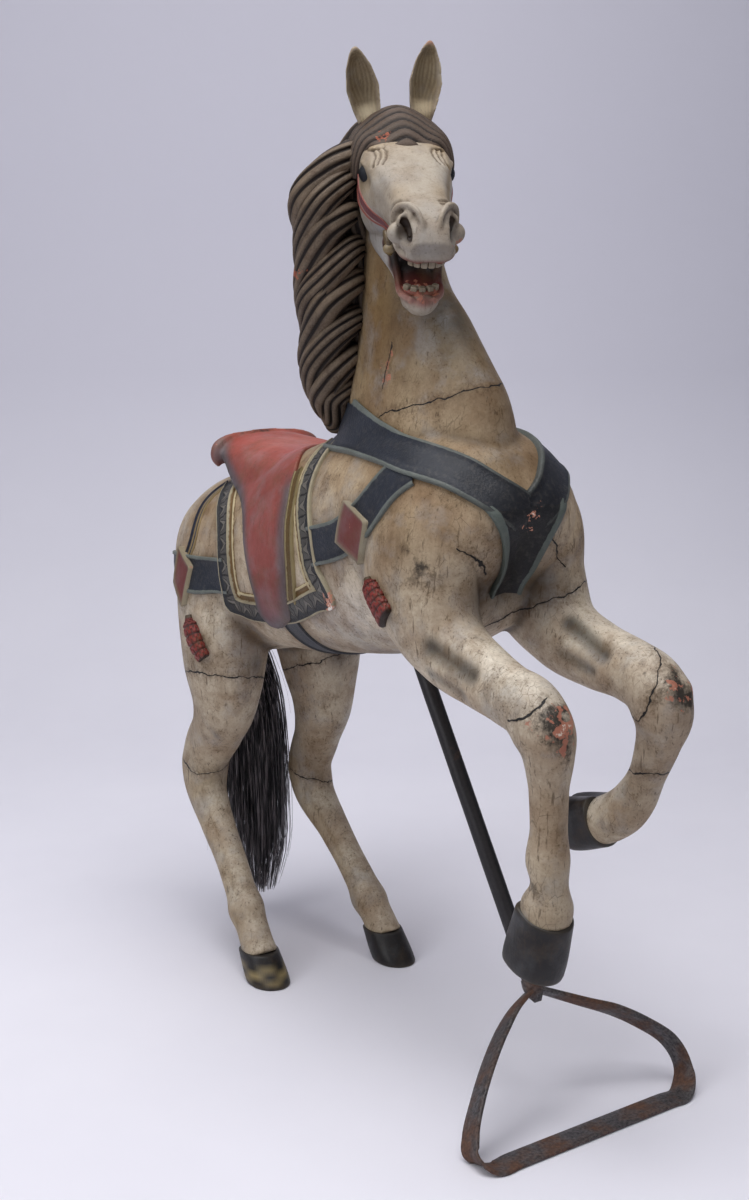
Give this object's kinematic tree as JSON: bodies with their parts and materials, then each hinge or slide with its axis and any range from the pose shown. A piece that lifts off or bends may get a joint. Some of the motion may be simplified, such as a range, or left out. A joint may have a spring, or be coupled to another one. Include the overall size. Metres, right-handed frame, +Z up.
{
  "type": "carousel horse",
  "caption": "Carved and painted wooden carousel horse, prancing with an open mouth, hair tail, saddle and harness, on an iron rod with a bent strap foot.",
  "frame": {"origin": "bottom centre of the bounding box, on the floor under the middle of the object", "axes": "+Z up; the horse faces -Y; +X is the horse's left"},
  "size_m": [0.4388, 1.1968, 1.6012],
  "materials": {
    "painted_wood": "aged cream, slate and red oil paint, rubbed and grimed",
    "horsehair": "black horsehair",
    "dark_iron": "dark oxide",
    "rusted_iron": "grey patina with rust"
  },
  "bodies": {
    "root": {"horse": "painted_wood", "tail": "horsehair", "support_rod": "dark_iron", "support_foot": "rusted_iron"}
  },
  "joints": []
}
